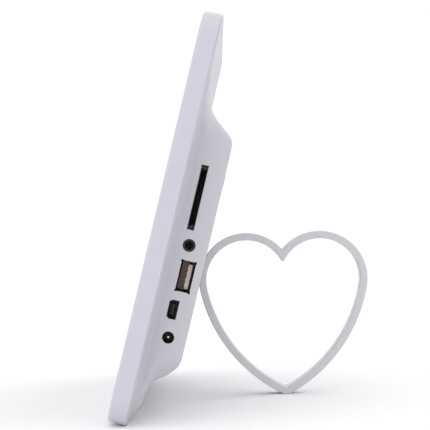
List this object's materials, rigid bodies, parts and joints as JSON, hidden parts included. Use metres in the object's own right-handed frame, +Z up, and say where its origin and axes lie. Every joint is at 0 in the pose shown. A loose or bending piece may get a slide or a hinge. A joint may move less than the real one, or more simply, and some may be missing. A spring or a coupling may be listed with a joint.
{
  "type": "digital photo frame",
  "caption": "Leaning tabletop digital photo frame with white rim, ports along one side of the rear cover and a heart-shaped ring stand plugged into its back.",
  "frame": {"origin": "on the table, under the middle of the bounding box", "axes": "+X along the width towards the side with the ports, +Y from the picture towards the heart stand, +Z up"},
  "size_m": [0.215, 0.1216, 0.1749],
  "materials": {
    "white_shell": "satin-gloss moulded ABS",
    "stand_plastic": "satin-gloss moulded ABS",
    "key_plastic": "satin",
    "display_glass": "dark glossy screen, switched off",
    "backlight_tray": "satin",
    "sheet_steel": "tinned",
    "screw_steel": "zinc plated",
    "circuit_board": "green solder mask",
    "chip_resin": "matt moulded resin",
    "capacitor_can": "bright can",
    "cell_steel": "nickel plated",
    "black_plastic": "moulded",
    "ivory_plastic": "moulded",
    "contact_brass": "gold flashed",
    "pin_metal": "nickel plated",
    "ribbon_film": "polyimide film",
    "speaker_steel": "pressed",
    "speaker_paper": "paper"
  },
  "bodies": {
    "frame": {"front_bezel": "white_shell", "rear_cover": "white_shell", "lcd_panel": "display_glass", "lcd_chassis": "backlight_tray", "lcd_clips": "sheet_steel", "card_slot_shell": "sheet_steel", "usb_shell": "sheet_steel", "mini_usb_shell": "sheet_steel", "lcd_screws": "screw_steel", "board_screws": "screw_steel", "key_board_screws": "screw_steel", "main_board": "circuit_board", "key_board": "circuit_board", "main_processor": "chip_resin", "memory_chips": "chip_resin", "power_inductor": "chip_resin", "capacitors": "capacitor_can", "clock_cell": "cell_steel", "cell_holder": "black_plastic", "card_slot_body": "black_plastic", "audio_jack_body": "black_plastic", "mini_usb_tongue": "black_plastic", "power_jack_body": "black_plastic", "key_switches": "black_plastic", "usb_tongue": "ivory_plastic", "card_contacts": "contact_brass", "usb_contacts": "contact_brass", "power_jack_pin": "pin_metal", "lcd_ribbon": "ribbon_film", "speaker_left": "speaker_steel", "speaker_right": "speaker_steel", "speaker_cone_left": "speaker_paper", "speaker_cone_right": "speaker_paper"},
    "stand": {"heart_stand": "stand_plastic"},
    "key_menu": {"key_menu": "key_plastic"},
    "key_previous": {"key_previous": "key_plastic"},
    "key_up": {"key_up": "key_plastic"},
    "key_down": {"key_down": "key_plastic"},
    "key_next": {"key_next": "key_plastic"},
    "key_enter": {"key_enter": "key_plastic"},
    "key_power": {"key_power": "key_plastic"}
  },
  "joints": [
    {"name": "stand_plug", "type": "slide", "parent": "frame", "child": "stand", "axis": [0, 0.9659, -0.2588], "range_m": [0, 0.009]},
    {"name": "key_menu_press", "type": "slide", "parent": "frame", "child": "key_menu", "axis": [0, -0.9659, 0.2588], "range_m": [0, 0.00035], "stiffness_N_per_m": 400},
    {"name": "key_previous_press", "type": "slide", "parent": "frame", "child": "key_previous", "axis": [0, -0.9659, 0.2588], "range_m": [0, 0.00035], "stiffness_N_per_m": 400},
    {"name": "key_up_press", "type": "slide", "parent": "frame", "child": "key_up", "axis": [0, -0.9659, 0.2588], "range_m": [0, 0.00035], "stiffness_N_per_m": 400},
    {"name": "key_down_press", "type": "slide", "parent": "frame", "child": "key_down", "axis": [0, -0.9659, 0.2588], "range_m": [0, 0.00035], "stiffness_N_per_m": 400},
    {"name": "key_next_press", "type": "slide", "parent": "frame", "child": "key_next", "axis": [0, -0.9659, 0.2588], "range_m": [0, 0.00035], "stiffness_N_per_m": 400},
    {"name": "key_enter_press", "type": "slide", "parent": "frame", "child": "key_enter", "axis": [0, -0.9659, 0.2588], "range_m": [0, 0.00035], "stiffness_N_per_m": 400},
    {"name": "key_power_press", "type": "slide", "parent": "frame", "child": "key_power", "axis": [0, -0.9659, 0.2588], "range_m": [0, 0.00035], "stiffness_N_per_m": 400}
  ]
}
